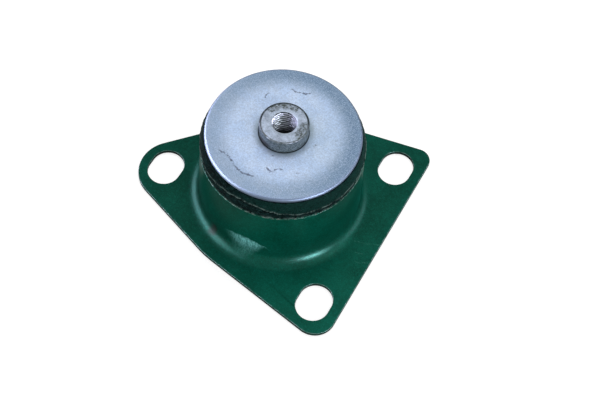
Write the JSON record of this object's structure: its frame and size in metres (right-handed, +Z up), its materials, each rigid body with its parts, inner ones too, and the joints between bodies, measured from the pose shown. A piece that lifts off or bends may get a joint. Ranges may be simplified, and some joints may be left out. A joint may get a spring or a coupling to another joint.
{
  "type": "transmission mount",
  "caption": "Bonded rubber transmission mount: three-eared pressed bracket with a drawn dome, rubber block and a round top disc with a tapped boss.",
  "frame": {"origin": "axis of the dome, in the plane of the bracket's underside", "axes": "+Z up along the dome and out of the tapped hole, +X towards the bracket's straight edge, +Y along that edge and along the slots"},
  "size_m": [0.116, 0.1098, 0.0564],
  "materials": {
    "green_paint": "gloss",
    "rubber": "satin",
    "zinc_plate": "satin",
    "bare_steel": "satin"
  },
  "bodies": {
    "bracket": {"mounting_plate": "green_paint", "rubber_body": "rubber"},
    "top": {"top_disc": "zinc_plate", "threaded_bush": "bare_steel"}
  },
  "joints": [
    {"name": "top_travel", "type": "slide", "parent": "bracket", "child": "top", "axis": [0, 0, 1], "range_m": [-0.005, 0.003], "stiffness_N_per_m": 200000, "deforming": ["rubber_body"]}
  ]
}
